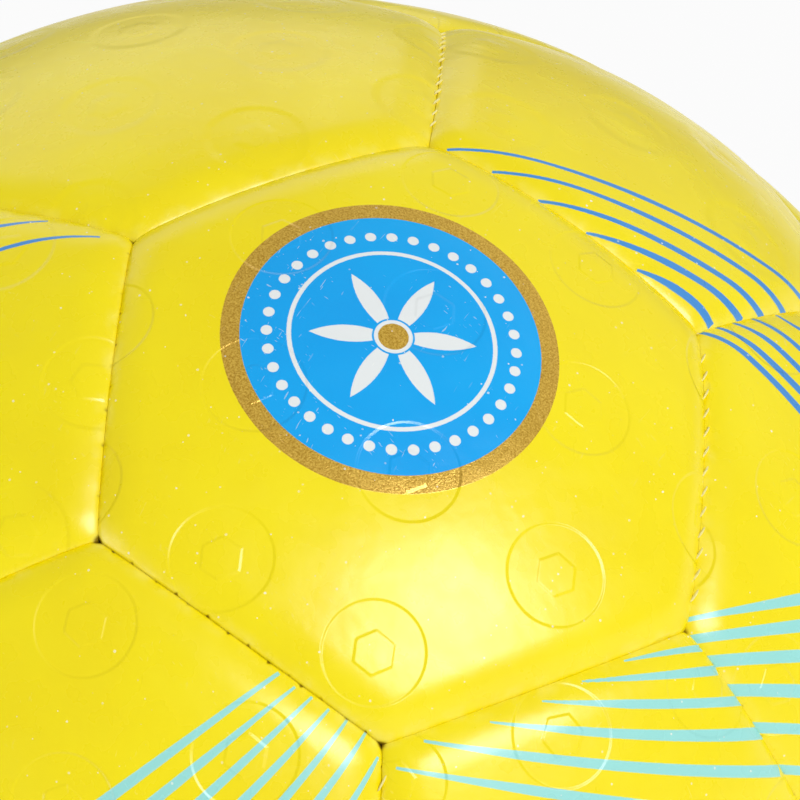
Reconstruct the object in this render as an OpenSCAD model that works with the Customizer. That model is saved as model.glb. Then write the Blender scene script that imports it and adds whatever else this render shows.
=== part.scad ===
// Handball of thirty-two stitched panels: twelve pentagons and twenty hexagons over a bladder.
// The origin is the ball's centre. A hexagon's middle is at the top and another at the bottom.

/* [Ball] */
// radius over the middles of the panels, for a circumference of 590 mm
ball_r = 94; // [90:0.5:98]
// how far outward of the ball's centre each panel's own bulge is centred
crown_offset = 6; // [2:0.5:8]

/* [Laminate] */
// thickness of the outer cover
cover_t = 1.2; // [0.8:0.1:1.5]
// thickness of the foam pad under each cover panel
foam_t = 2.4; // [1.5:0.1:3]
// thickness of the cloth lining behind the foam
lining_t = 0.9; // [0.5:0.1:1.2]
// thickness of the glue line between two layers
glue_t = 0.05; // [0.03:0.01:0.1]

/* [Seams] */
// width left between two panels where they meet
seam_gap = 0.1; // [0.08:0.01:0.2]
// radius with which a cover panel rolls over into the seam
roll_r = 2.2; // [2:0.1:2.6]
// how far the sewn edges stand in from the back of the lining
seam_allowance = 3.5; // [3:0.1:5]
// stitches along one seam
stitches = 7; // [3:1:9]
// width of the thread where it is pressed flat along a seam
thread_w = 1; // [0.8:0.1:1.4]
// thickness of the thread there
thread_t = 0.5; // [0.3:0.1:0.7]
// diameter of the thread where it is drawn through the layers
thread_d = 0.7; // [0.4:0.1:0.7]
// distance from the last stitch to the corner of the panel
corner_margin = 3; // [2.8:0.1:5]

/* [Bladder] */
// wall of the bladder
bladder_t = 0.9; // [0.6:0.1:1.5]
// clearance between the bladder and the sewn edges that rest on it
bladder_fit = 0.05; // [0.03:0.01:0.1]

/* [Valve] */
// outside diameter of the valve's sleeve
sleeve_d = 9; // [8.6:0.1:10]
// how far the top of the valve lies below the crown of its panel
valve_recess = 0.8; // [0.4:0.1:1.2]
// diameter of the flange that seals the sleeve inside the bladder
flange_d = 26; // [20:0.5:30]
// thickness of that flange
flange_t = 1.2; // [0.8:0.1:2]
// diameter of the doubler patch outside the bladder
patch_d = 32; // [24:0.5:36]
// thickness of the doubler patch
patch_t = 0.6; // [0.4:0.1:1]
// length of the valve core
core_len = 13; // [12:0.5:16]
// diameter of the core's shank
core_d = 5; // [4.6:0.1:5.4]
// diameter of the core's head and of its barb
head_d = 6.6; // [6:0.1:7]
// height of the core's head and of its barb
head_h = 1.6; // [1:0.1:2.5]
// diameter of the needle bore through the core
needle_bore_d = 2; // [1.6:0.1:2.4]
// clearance of the valve's pieces in their seats
valve_fit = 0.05; // [0.03:0.01:0.1]

/* [Hidden] */
$fn = 64;

hex_count = 20;
pent_count = 12;
function two_digits(i) = str(i < 9 ? "0" : "", i + 1);
function hex_name(i) = str("hex_panel_", two_digits(i));
function pent_name(i) = str("pent_panel_", two_digits(i));

// The panels' middles are directions worked out from the golden ratio, turned so that
// one hexagon's middle points up. The pentagons lie at an icosahedron's corners and the
// hexagons at the middles of its faces, each list sorted from the top down.
phi = (1 + sqrt(5)) / 2;
signs = [-1, 1];
function unit(v) = v / norm(v);
up = unit([1, 1, 1]);
right = unit([1 / phi, -phi, 1]);
function turned(v) = unit([right * v, cross(up, right) * v, up * v]);
// rings of panels are told apart by their height, in this many steps from the centre to the top
height_steps = 20;
function rank(v) = atan2(v.y, v.x) - 360 * round(height_steps * v.z);
function sorted(list) = len(list) < 2 ? list : let (first = rank(list[0])) concat(
    sorted([for (v = list) if (rank(v) < first) v]),
    [list[0]],
    sorted([for (v = list) if (rank(v) > first) v])
);
function cyclic(a, b) = [for (s = signs, t = signs) each [[0, s * a, t * b], [s * a, t * b, 0], [t * b, 0, s * a]]];
pent_middles = sorted([for (v = cyclic(1, phi)) turned(v)]);
hex_middles = sorted(concat(
    [for (x = signs, y = signs, z = signs) turned([x, y, z])],
    [for (v = cyclic(phi, 1 / phi)) turned(v)]
));

// Angles of a truncated icosahedron, seen from its centre: half of one edge, and from a
// panel's middle to the middle of its edge.
edge_share = 2 / sqrt(9 * phi + 10);
edge_half_angle = asin(edge_share / 2);
function apothem_angle(sides) = asin(edge_share / (2 * tan(180 / sides) * cos(edge_half_angle)));
// two hexagons that share a seam have their middles this far apart, and no neighbours are further
next_panel_angle = 2 * apothem_angle(6);
near_share = 1.05;
function next_to(v, list) = [for (w = list) if (v != w && acos(v * w) < near_share * next_panel_angle) w];

crown_r = ball_r - crown_offset;
foam_inset = cover_t + glue_t;
lining_inset = foam_inset + foam_t + glue_t;
lining_side_inset = cover_t + glue_t;
bladder_r = ball_r - lining_inset - lining_t - seam_allowance;
flange_tip_r = bladder_r + bladder_fit;
// the roll's circle crosses the faces it joins by this much, so that no faces are tangent
roll_cross_share = 0.014;
roll_cross = roll_r * roll_cross_share;
// cuts run this much past what they cut
overrun = roll_r;
function edge_r(sides) = let (a = apothem_angle(sides))
    crown_offset * cos(a) + sqrt(pow(crown_r, 2) - pow(crown_offset * sin(a), 2));
function roll_centre_r(sides) = edge_r(sides) - roll_r + roll_cross;
roll_centre_side = seam_gap / 2 + roll_r - roll_cross;
// the roll's cutter turns this much further than the seam's own angle, to reach past both corners
roll_turn_share = 1.5;
roll_turn = 2 * edge_half_angle * roll_turn_share;

layers_t = seam_gap / 2 + lining_side_inset + lining_t;
run_side = layers_t + glue_t;
stitch_r = bladder_r + seam_allowance / 2;
run_half_angle = edge_half_angle - (corner_margin / stitch_r) * (180 / PI);
hole_d = thread_d + 2 * glue_t;
// how much of a run's half length lies between its middle and its last stitch
stitched_share = 0.95;

// the hexagon that holds the valve, counted from the top of the ball
valve_index = 8;
valve_top = ball_r - valve_recess;
bladder_in_r = bladder_r - bladder_t;
opening_d = sleeve_d + 2 * valve_fit;

cover_colour = [0.97, 0.90, 0.10];
foam_colour = [0.85, 0.86, 0.88];
lining_colour = [0.93, 0.92, 0.86];
thread_colour = [0.88, 0.86, 0.70];
latex_colour = [0.82, 0.68, 0.45];
rubber_colour = [0.08, 0.08, 0.09];

// Turns a piece drawn about +Z so that +Z points along middle and +X leans towards another middle.
module placed(middle, towards) {
    x = unit(towards - middle * (towards * middle));
    y = cross(middle, x);
    multmatrix([
        [x.x, y.x, middle.x, 0],
        [x.y, y.y, middle.y, 0],
        [x.z, y.z, middle.z, 0]
    ]) children();
}

module on_hex(i) placed(hex_middles[i], next_to(hex_middles[i], hex_middles)[0]) children();
module on_pent(i) placed(pent_middles[i], next_to(pent_middles[i], hex_middles)[0]) children();

// Puts children at each side of a panel, with the seam's plane at x = 0 and the panel at x < 0.
module at_sides(sides) for (k = [0:sides - 1])
    rotate([0, 0, k * 360 / sides]) rotate([0, apothem_angle(sides), 0]) children();

module beyond_seam(inset) {
    reach = 2 * ball_r;
    translate([-seam_gap / 2 - inset, -reach / 2, -reach / 2]) cube(reach);
}

module crown(inset) translate([0, 0, crown_offset]) sphere(r = crown_r - inset);

// A panel's wedge of the ball, from the centre out to the given depth under its crown.
module wedge(sides, inset, side_inset) difference() {
    crown(inset);
    at_sides(sides) beyond_seam(side_inset);
}

// The ring that is cut away where a cover panel rolls over into one seam.
module roll_cut(sides) rotate([0, -90, 0]) rotate([0, 0, -roll_turn / 2])
    rotate_extrude(angle = roll_turn) difference() {
        translate([roll_centre_r(sides), -overrun])
            square([roll_r + overrun, roll_centre_side + overrun]);
        translate([roll_centre_r(sides), roll_centre_side]) circle(r = roll_r);
    }

module needle_holes(sides) at_sides(sides) for (i = [0:stitches - 1])
    rotate([stitch_angle(i), 0, 0]) translate([0, 0, stitch_r])
        rotate([0, -90, 0]) cylinder(d = hole_d, h = layers_t + overrun);

function stitch_angle(i) = (i / (stitches - 1) * 2 - 1) * run_half_angle * stitched_share;

module valve_opening() cylinder(d = opening_d, h = 2 * ball_r);

// A cover panel is a crowned skin whose edges roll over and stand inward along the seams.
module cover_panel(sides) difference() {
    wedge(sides, 0, 0);
    sphere(r = flange_tip_r);
    wedge(sides, cover_t, cover_t);
    at_sides(sides) roll_cut(sides);
    needle_holes(sides);
}

module foam_pad(sides) difference() {
    wedge(sides, foam_inset, lining_side_inset);
    crown(foam_inset + foam_t);
}

// The lining backs the foam and turns inward beside the cover's sewn edges.
module lining(sides) difference() {
    wedge(sides, lining_inset, lining_side_inset);
    sphere(r = flange_tip_r);
    wedge(sides, lining_inset + lining_t, lining_side_inset + lining_t);
    needle_holes(sides);
}

// One seam's thread: a flat run on each side of the sewn edges and a stitch through each hole.
module seam_thread() {
    rotate([0, -90, 0]) for (side = [-run_side - thread_t, run_side])
        rotate([0, 0, -run_half_angle]) rotate_extrude(angle = 2 * run_half_angle)
            translate([stitch_r - thread_w / 2, side]) square([thread_w, thread_t]);
    for (i = [0:stitches - 1]) rotate([stitch_angle(i), 0, 0]) translate([0, 0, stitch_r])
        rotate([0, 90, 0]) cylinder(d = thread_d, h = 2 * run_side + thread_t, center = true);
}

module hex_panel(i) color(cover_colour) on_hex(i) difference() {
    cover_panel(6);
    if (i == valve_index) valve_opening();
}

module pent_panel(i) color(cover_colour) on_pent(i) cover_panel(5);

module hex_foam_pads() color(foam_colour) for (i = [0:hex_count - 1]) on_hex(i) difference() {
    foam_pad(6);
    if (i == valve_index) valve_opening();
}

module pent_foam_pads() color(foam_colour) for (i = [0:pent_count - 1]) on_pent(i) foam_pad(5);

module hex_linings() color(lining_colour) for (i = [0:hex_count - 1]) on_hex(i) difference() {
    lining(6);
    if (i == valve_index) valve_opening();
}

module pent_linings() color(lining_colour) for (i = [0:pent_count - 1]) on_pent(i) lining(5);

module thread_hex_hex() color(thread_colour)
    for (i = [0:hex_count - 1], w = next_to(hex_middles[i], hex_middles))
        if (rank(w) > rank(hex_middles[i]))
            placed(hex_middles[i], w) rotate([0, apothem_angle(6), 0]) seam_thread();

module thread_hex_pent() color(thread_colour)
    for (i = [0:hex_count - 1], w = next_to(hex_middles[i], pent_middles))
        placed(hex_middles[i], w) rotate([0, apothem_angle(6), 0]) seam_thread();

module bladder() color(latex_colour) difference() {
    sphere(r = bladder_r);
    sphere(r = bladder_in_r);
    on_hex(valve_index) valve_opening();
}

// A disc of even thickness that lies on a sphere about the ball's centre.
module curved_disc(r_out, thickness, diameter) difference() {
    intersection() {
        sphere(r = r_out);
        cylinder(d = diameter, h = ball_r);
    }
    sphere(r = r_out - thickness);
}

module valve_patch() color(latex_colour) on_hex(valve_index) difference() {
    curved_disc(bladder_r + glue_t + patch_t, patch_t, patch_d);
    valve_opening();
}

module core_shape(clearance) {
    translate([0, 0, -core_len]) cylinder(d = core_d + 2 * clearance, h = core_len);
    translate([0, 0, -head_h - clearance]) cylinder(d = head_d + 2 * clearance, h = head_h + clearance);
    translate([0, 0, -core_len]) cylinder(d = head_d + 2 * clearance, h = head_h + clearance);
}

module valve_sleeve() color(rubber_colour) on_hex(valve_index) difference() {
    union() {
        translate([0, 0, valve_top - core_len]) cylinder(d = sleeve_d, h = core_len);
        curved_disc(bladder_in_r - glue_t, flange_t, flange_d);
    }
    translate([0, 0, valve_top]) core_shape(valve_fit);
}

module valve_core() color(rubber_colour) on_hex(valve_index) translate([0, 0, valve_top]) difference() {
    core_shape(0);
    translate([0, 0, -core_len - overrun]) cylinder(d = needle_bore_d, h = core_len + 2 * overrun);
}

for (i = [0:hex_count - 1]) hex_panel(i);
for (i = [0:pent_count - 1]) pent_panel(i);
hex_foam_pads();
pent_foam_pads();
hex_linings();
pent_linings();
thread_hex_hex();
thread_hex_pent();
bladder();
valve_patch();
valve_sleeve();
valve_core();
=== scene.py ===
# %% [markdown]
# # A yellow match handball, dressed in Blender
# The ball is thirty-two stitched panels over a bladder. Its sizes are settled in the CAD model, so this
# file loads that as a fixed frame and only makes the skin, the ink, the thread and the light. Lengths are
# in millimetres until a mesh is filled, where they are turned into metres.

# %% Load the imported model
import bpy
import numpy as np
from mathutils import Matrix


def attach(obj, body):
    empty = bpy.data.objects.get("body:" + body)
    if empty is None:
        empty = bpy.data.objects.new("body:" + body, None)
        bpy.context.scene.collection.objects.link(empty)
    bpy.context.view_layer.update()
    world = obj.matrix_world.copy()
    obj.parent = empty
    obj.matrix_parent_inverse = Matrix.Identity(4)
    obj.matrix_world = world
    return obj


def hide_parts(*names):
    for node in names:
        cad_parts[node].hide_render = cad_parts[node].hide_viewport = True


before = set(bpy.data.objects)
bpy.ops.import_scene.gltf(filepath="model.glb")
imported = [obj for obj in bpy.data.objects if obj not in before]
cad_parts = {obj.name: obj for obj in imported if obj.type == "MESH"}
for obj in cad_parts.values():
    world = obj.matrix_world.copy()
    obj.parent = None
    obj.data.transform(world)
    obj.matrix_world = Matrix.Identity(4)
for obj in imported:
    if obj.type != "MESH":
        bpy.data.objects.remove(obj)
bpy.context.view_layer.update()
MM = 0.001
print("nodes in the frame:", len(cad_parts))

# %% [markdown]
# ## Where the thirty-two panels are
# A match ball is a truncated icosahedron blown up to a sphere: twelve pentagons at an icosahedron's corners
# and twenty hexagons at the middles of its faces. The golden ratio gives both sets of directions. Each one
# then goes to the CAD node whose own vertices point the same way.

# %% Directions of the panels
PHI = (1 + 5 ** 0.5) / 2


def unit(v):
    """Scales a vector, or each row of an array, to length one."""
    v = np.asarray(v, float)
    return v / np.linalg.norm(v, axis=-1, keepdims=True)


def cyclic(a, b):
    """The twelve points (0, ±a, ±b) and their turns (±a, ±b, 0) and (±b, 0, ±a)."""
    return [w for s in (-a, a) for t in (-b, b) for w in ((0, s, t), (s, t, 0), (t, 0, s))]


ball_up = unit([1, 1, 1])
ball_right = unit([1 / PHI, -PHI, 1])
to_ball = np.stack([ball_right, np.cross(ball_up, ball_right), ball_up], 1)
cube = [(x, y, z) for x in (-1, 1) for y in (-1, 1) for z in (-1, 1)]
pent_directions = unit(cyclic(1, PHI)) @ to_ball
hex_directions = unit(cube + cyclic(PHI, 1 / PHI)) @ to_ball


def around(angle):
    """The flat direction at an angle: its cosine and its sine."""
    return np.stack([np.cos(angle), np.sin(angle)], -1)


def points_of(node):
    """All vertices of a CAD node as rows of x, y, z in millimetres."""
    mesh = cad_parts[node].data
    flat = np.zeros(len(mesh.vertices) * 3)
    mesh.vertices.foreach_get("co", flat)
    return flat.reshape(-1, 3) / MM


def matched(prefix, directions):
    """Gives each CAD panel node, in the order of its number, the exact direction nearest to its middle."""
    names = sorted(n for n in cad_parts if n.startswith(prefix))
    found = [directions[np.argmax(directions @ points_of(n).mean(0))] for n in names]
    return names, np.array(found)


hex_names, hex_middles = matched("hex_panel_", hex_directions)
pent_names, pent_middles = matched("pent_panel_", pent_directions)
panel_names = hex_names + pent_names
middles = np.vstack([hex_middles, pent_middles])
sides_of = np.array([6] * len(hex_names) + [5] * len(pent_names))
print("hexagons", len(hex_names), "pentagons", len(pent_names))

# %% [markdown]
# ## The ball's sizes and each panel's own axes
# Across a ball there is no up or down, so every panel gets its own axes: z out through its middle, and x
# leaning towards its first neighbouring hexagon. All shapes are written once in those axes and turned into
# place. A hexagon's even sides then meet hexagons and its odd sides pentagons.

# %% Sizes, seam angles and panel axes
BALL_R = points_of("hex_panel_01")[:, 2].max()
FLANGE_TIP_R = np.linalg.norm(points_of("hex_panel_01"), axis=1).min()
CROWN_OFFSET = 6.0
CROWN_R = BALL_R - CROWN_OFFSET
SEAM_GAP = 0.02
ROLL_R = 2.2
COVER_T = 1.2
# a seam's length on this solid, when the radius of its corners is one
EDGE_SHARE = 2 / np.sqrt(9 * PHI + 10)
EDGE_HALF_ANGLE = np.arcsin(EDGE_SHARE / 2)
APOTHEM = {n: np.arcsin(EDGE_SHARE / (2 * np.tan(np.pi / n) * np.cos(EDGE_HALF_ANGLE))) for n in (5, 6)}
SAME_PANEL, NEAR_APOTHEMS = 0.01, 2.05


def angle_between(a, b):
    """Angle between two directions, or between each row of a and the direction b."""
    return np.arccos(np.clip(a @ b, -1, 1))


def axes_of(panel):
    """Rows x, y, z of a panel's own axes."""
    z = middles[panel]
    near = [h for h in hex_middles if SAME_PANEL < angle_between(h, z) < NEAR_APOTHEMS * APOTHEM[6]]
    x = unit(near[0] - z * (near[0] @ z))
    return np.stack([x, np.cross(z, x), z])


panel_axes = [axes_of(p) for p in range(len(middles))]
print("radius", round(float(BALL_R), 2), "sewn edges reach in to", round(float(FLANGE_TIP_R), 2))

# %% [markdown]
# ## The camera, and how a pixel finds its place on the ball
# The photograph is taken close up with a long lens, from in front, a little above and tilted. The corners
# of the stitched pattern fix that view. With the camera known, a pixel can be sent back along its ray until
# it meets the ball, and that is how the print finds its place.

# %% Camera and the way back from a pixel
PICTURE = 800
LENS_PX = 4000.0
SENSOR = 36.0
CLIP_END = 50
VIEW_AZIMUTH, VIEW_ELEVATION, VIEW_ROLL = -53.77, 24.31, -8.52
# the camera's place to the right, up and back, as shares of the ball's radius
VIEW_SHARES = np.array([0.173, 0.453, 5.398])


def towards(azimuth, elevation):
    """The direction at an azimuth and an elevation, both in degrees."""
    az, el = np.radians([azimuth, elevation])
    return np.array([np.cos(el) * np.cos(az), np.cos(el) * np.sin(az), np.sin(el)])


def facing(z):
    """Columns x, y, z of axes whose z points along a direction and whose x is level."""
    x = unit(np.cross([0, 0, 1], z))
    return np.stack([x, np.cross(z, x), z], 1)


def place(thing, axes, position):
    """Puts a camera or lamp into the scene, with its axes as columns and its position in metres."""
    thing.matrix_world = Matrix([[*row, p] for row, p in zip(axes, position)] + [[0, 0, 0, 1]])
    bpy.context.scene.collection.objects.link(thing)


level, over, back = facing(towards(VIEW_AZIMUTH, VIEW_ELEVATION)).T
roll = np.radians(VIEW_ROLL)
right = np.cos(roll) * level + np.sin(roll) * over
up = np.cross(back, right)
view_axes = np.stack([right, up, back], 1)
eye = view_axes @ VIEW_SHARES * BALL_R

camera_data = bpy.data.cameras.new("camera")
camera_data.sensor_width = SENSOR
camera_data.lens = SENSOR * LENS_PX / PICTURE
camera_data.clip_end = CLIP_END
camera = bpy.data.objects.new("camera", camera_data)
place(camera, view_axes, eye * MM)
bpy.context.scene.camera = camera


def on_ball(pixel, radius):
    """Direction from the ball's centre to where a pixel's ray first meets a sphere of this radius.

    The ray is eye + t * d, and t is the smaller root of |eye + t * d| = radius."""
    x, y = np.asarray(pixel, float) - PICTURE / 2
    d = right * x / LENS_PX - up * y / LENS_PX - back
    half_b, a, c = d @ eye, d @ d, eye @ eye - radius ** 2
    t = (-half_b - np.sqrt(half_b ** 2 - a * c)) / a
    return unit(eye + t * d)


print("camera", round(float(np.linalg.norm(eye)), 1), "mm from the centre, lens", camera_data.lens, "mm")

# %% [markdown]
# ## A grid that fits a panel
# A hexagon or pentagon has no square grid of its own, but it splits into one kite per corner: from its
# middle to the middle of a side, out to the corner and back over the next side. A kite is a bent square, so
# a grid in u and v fits it. The lines are drawn together near the sides, where the panel rolls over into
# the seam and turns fastest. On a flat plane that touches the ball, the seams are straight lines.

# %% Kite grids and their outline
ROLL_STEPS = 9
TEST_STEPS = 20
WELD_DIGITS = 9


def graded(count, apothem):
    """Values from 0 to 1: even steps up to where the roll begins, then equal angles round the roll."""
    roll_share = ROLL_R / (BALL_R * np.sin(apothem) * np.cos(apothem))
    turn = np.linspace(np.pi / 2, 0, ROLL_STEPS + 1)
    rolled = 1 - roll_share * (1 - np.cos(turn))
    return np.concatenate([np.linspace(0, rolled[0], count - ROLL_STEPS + 1)[:-1], rolled])


def side_reach(sides):
    """Distance on the flat plane from the middle to a side, less half of the gap in the seam."""
    a = APOTHEM[sides]
    return np.tan(a) - SEAM_GAP / 2 / (BALL_R * np.cos(a) ** 2)


def kite_points(sides, steps):
    """p(u, v) = u (1 - v) A + u v C + (1 - u) v B, for A and B the middles of two sides, C their corner."""
    reach = side_reach(sides)
    turn = 2 * np.pi / sides
    a, b = reach * around(0.0), reach * around(turn)
    c = reach / np.cos(turn / 2) * around(turn / 2)
    u, v = np.meshgrid(steps, steps, indexing="ij")
    u, v = u[..., None], v[..., None]
    return u * (1 - v) * a + u * v * c + (1 - u) * v * b


def quads_of(index):
    """Four-cornered faces between neighbouring rows and columns of a grid of vertex numbers."""
    return np.stack([index[:-1, :-1], index[1:, :-1], index[1:, 1:], index[:-1, 1:]], -1).reshape(-1, 4)


def panel_grid(sides, count):
    """Points on the flat plane, faces and outline of a whole panel, its kites welded where they touch."""
    steps = graded(count, APOTHEM[sides])
    kite = kite_points(sides, steps)
    turns = 2 * np.pi / sides * np.arange(sides)
    spin = np.stack([np.cos(turns), -np.sin(turns), np.sin(turns), np.cos(turns)], 1).reshape(-1, 2, 2)
    grids = np.einsum("kab,ijb->kija", spin, kite)
    flat, number = np.unique(np.round(grids.reshape(-1, 2), WELD_DIGITS), axis=0, return_inverse=True)
    number = number.reshape(sides, len(steps), len(steps))
    faces = np.vstack([quads_of(n) for n in number])
    outline = np.concatenate([np.concatenate([n[-1, :-1], n[::-1, -1][:-1]]) for n in number])
    return flat, faces, outline


test_grid = dict(zip(("points", "faces", "on its outline"), map(len, panel_grid(6, TEST_STEPS))))
print("a hexagon of", TEST_STEPS, "steps:", test_grid)

# %% [markdown]
# ## The valve's panel
# One hexagon has a round hole for the valve. Its grid runs in rings instead: the first is the hole's
# circle, the last is the panel's outline, and the ones between blend from the one to the other.

# %% Ring grid for the panel with the valve
VALVE_PANEL = hex_names.index("hex_panel_09")
VALVE_HOLE_R = 4.55
HOLE_LIP_R = 0.5
HOLE_RING_SHARES = [0, 0.004, 0.012, 0.024]


def ring_grid(sides, count):
    """p(w, i) = (1 - w) circle(i) + w outline(i), for w from the hole's edge at 0 to the seam at 1."""
    flat, faces, outline = panel_grid(sides, count)
    rim = flat[outline]
    circle = rim / np.linalg.norm(rim, axis=1, keepdims=True) * VALVE_HOLE_R / BALL_R
    w = np.concatenate([HOLE_RING_SHARES, graded(count, APOTHEM[sides])[2:]])[:, None, None]
    rings = (1 - w) * circle + w * rim
    number = np.arange(rings.shape[0] * rings.shape[1]).reshape(rings.shape[:2])
    closed = np.concatenate([number, number[:, :1]], 1)
    return rings.reshape(-1, 2), quads_of(closed), number[-1], number[0]


print("valve hole radius", VALVE_HOLE_R, "mm")

# %% [markdown]
# ## How a panel rises, rolls over and puckers
# Blown up, each panel bulges a little, and along the seams the cover rolls over and is pulled in by the
# thread. The surface is one number for each direction from the ball's centre: its radius. It starts as the
# bulge, loses the roll near each side, sinks a little further along the seams, and dips at each needle
# hole. Slow waves take away the look of a lathe. They only take away from the bulge, so the ball keeps its
# size. In two places it is a little fuller, as its outline in the photograph swells there.

# %% Radius of the skin in every direction
STITCHES = 7
CORNER_MARGIN = 3.0
STITCH_INSET, STITCHED_SHARE = 1.7, 0.95
STITCH_R = FLANGE_TIP_R + STITCH_INSET
RUN_HALF_ANGLE = (EDGE_HALF_ANGLE - CORNER_MARGIN / STITCH_R) * STITCHED_SHARE
STITCH_PITCH = 2 * RUN_HALF_ANGLE / (STITCHES - 1) * BALL_R
SHOULDER_DEPTH, SHOULDER_REACH, SHOULDER_SHARPNESS = 1.25, 5.2, 2.2
LIP_DEPTH, LIP_REACH, LIP_SHARPNESS, LEAST_LIP_SHARE = 0.12, 0.6, 2.5, 0.35
PUCKER_DEPTH, PUCKER_REACH = 0.08, 1.3
HOLE_DEPTH, HOLE_IN, HOLE_LENGTH, HOLE_WIDTH, HOLE_STRAY = 0.20, 0.08, 0.20, 0.17, 0.5
STRAY_TURN, OPEN_TURN, OPEN_SHARE = 2.4, 5.1, 0.6
CORNER_DEPTH, CORNER_REACH, SHUT_CORNER_SHARE = 0.35, 0.38, 0.3
# dirt with painted shade at the bottom of an open seam: its reach from the seam in mm and its largest share
SEAM_DIRT_AND_SHADE_REACH, SEAM_DIRT_AND_SHADE_SHARE = 0.16, 0.28
WAVES, WAVE_DEPTH, WAVE_CONTRAST, WAVE_LENGTHS = 9, 0.16, 1.8, (16.0, 38.0)
SEED, ROUNDS = 7, 12
random = np.random.default_rng(SEED)
wave_vectors = unit(random.normal(size=(WAVES, 3))) * (2 * np.pi / random.uniform(*WAVE_LENGTHS, (WAVES, 1)))
wave_phases = random.uniform(0, 2 * np.pi, WAVES)
# azimuth, elevation and reach of each fuller place in degrees, and how far it swells in mm
full_places = [(38, 56, 18, 0.75), (140, 79, 14, 0.5)]


def bulge(cosine):
    """Radius of a sphere of CROWN_R whose centre lies CROWN_OFFSET out along the panel's z axis."""
    return CROWN_OFFSET * cosine + np.sqrt(CROWN_R ** 2 - CROWN_OFFSET ** 2 * (1 - cosine ** 2))


def side_distances(d, sides):
    """For each direction and side: how far in from the seam, and how far along it from its middle, in mm."""
    a = APOTHEM[sides]
    turn = 2 * np.pi / sides * np.arange(sides)
    inward = np.stack([-np.cos(a) * np.cos(turn), -np.cos(a) * np.sin(turn), np.full(sides, np.sin(a))])
    along = np.stack([-np.sin(turn), np.cos(turn), np.zeros(sides)])
    return BALL_R * d @ inward - SEAM_GAP / 2, BALL_R * d @ along


def hole_places(along):
    """Offset along the seam from the nearest needle hole, and how open it is: 0 where nothing is sewn.

    A panel's holes lie a quarter of a pitch off the middle, so those of two neighbours take turns. Hole k
    strays by HOLE_STRAY sin(STRAY_TURN k), and is open by OPEN_SHARE + (1 - OPEN_SHARE) sin(OPEN_TURN k)."""
    off = along - STITCH_PITCH / 4
    k = np.round(off / STITCH_PITCH)
    near = off - STITCH_PITCH * k - HOLE_STRAY * np.sin(STRAY_TURN * k)
    sewn = np.abs(along) < RUN_HALF_ANGLE * BALL_R + STITCH_PITCH / 3
    return near, (OPEN_SHARE + (1 - OPEN_SHARE) * np.sin(OPEN_TURN * k)) * sewn


def drop(inside, depth, reach, sharpness):
    """Falls by depth towards each side: depth (1 - x / reach)^sharpness, two sides joined by Pythagoras."""
    fall = depth * (1 - np.minimum(inside, reach) / reach) ** sharpness
    return np.sqrt((fall ** 2).sum(1))


def skin_radius(d, sides, gape=0.0):
    """Radius for directions in the panel's axes, distance from the seam, and how dark the skin is painted
    there.

    gape says how open each side's seam is: only an open seam shows its holes and corner pits, which are
    painted dark as shade, and dirt with painted shade along its bottom."""
    inside, along = side_distances(d, sides)
    inside = np.maximum(inside, 0)
    r = bulge(d[:, 2])
    r = r - drop(inside, SHOULDER_DEPTH, SHOULDER_REACH, SHOULDER_SHARPNESS)
    r = r - drop(inside, LIP_DEPTH * np.minimum(LEAST_LIP_SHARE + gape, 1), LIP_REACH, LIP_SHARPNESS)
    near, stitched = hole_places(along)
    wave = 0.5 + 0.5 * np.cos(2 * np.pi * near / STITCH_PITCH)
    r = r - (PUCKER_DEPTH * wave * stitched * np.exp(-inside / PUCKER_REACH)).sum(1)
    hole = gape * np.exp(-(near / HOLE_WIDTH) ** 2 - ((inside - HOLE_IN) / HOLE_LENGTH) ** 2) * stitched
    r = r - HOLE_DEPTH * hole.sum(1)
    two_nearest = np.sort(inside, 1)[:, :2]
    corner = np.exp(-(two_nearest ** 2).sum(1) / CORNER_REACH ** 2)
    open_here = np.broadcast_to(gape, inside.shape)
    corner_gape = np.take_along_axis(open_here, np.argsort(inside, 1)[:, :2], 1).sum(1).clip(0, 1)
    r = r - CORNER_DEPTH * corner * (SHUT_CORNER_SHARE + (1 - SHUT_CORNER_SHARE) * corner_gape)
    # painted shade: needle holes and corner pits are darkened as far as they open, and the bottom of an open
    # seam gets dirt with painted shade
    dirt_and_shade = SEAM_DIRT_AND_SHADE_SHARE * (open_here * np.exp(-(inside / SEAM_DIRT_AND_SHADE_REACH) ** 2)).max(1)
    return r, inside.min(1), np.clip(np.maximum(hole.sum(1), corner * corner_gape) + dirt_and_shade, 0, 1)


def slow_waves(d):
    """Sum of plane waves through the ball, from 0 to the full depth, the same on both sides of a seam.

    Each fuller place takes off swell * exp(-(angle / reach)^2) again."""
    total = np.sin(BALL_R * d @ wave_vectors.T + wave_phases).sum(1) / WAVES
    depth = WAVE_DEPTH * (0.5 + 0.5 * total * WAVE_CONTRAST).clip(0, 1)
    for azimuth, elevation, reach, swell in full_places:
        angle = angle_between(d, towards(azimuth, elevation))
        depth = depth - swell * np.exp(-(angle / np.radians(reach)) ** 2)
    return depth


def on_skin(pixel, panel):
    """Direction where a pixel's ray meets a panel's skin.

    The sphere that the ray is cut with is moved half of the way to the skin, ROUNDS times over."""
    radius = BALL_R
    for _ in range(ROUNDS):
        d = on_ball(pixel, radius)
        skin = skin_radius((panel_axes[panel] @ d)[None], int(sides_of[panel]))[0] - slow_waves(d[None])
        radius = (radius + skin[0]) / 2
    return d


print("stitch pitch", round(float(STITCH_PITCH), 2), "mm")
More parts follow.
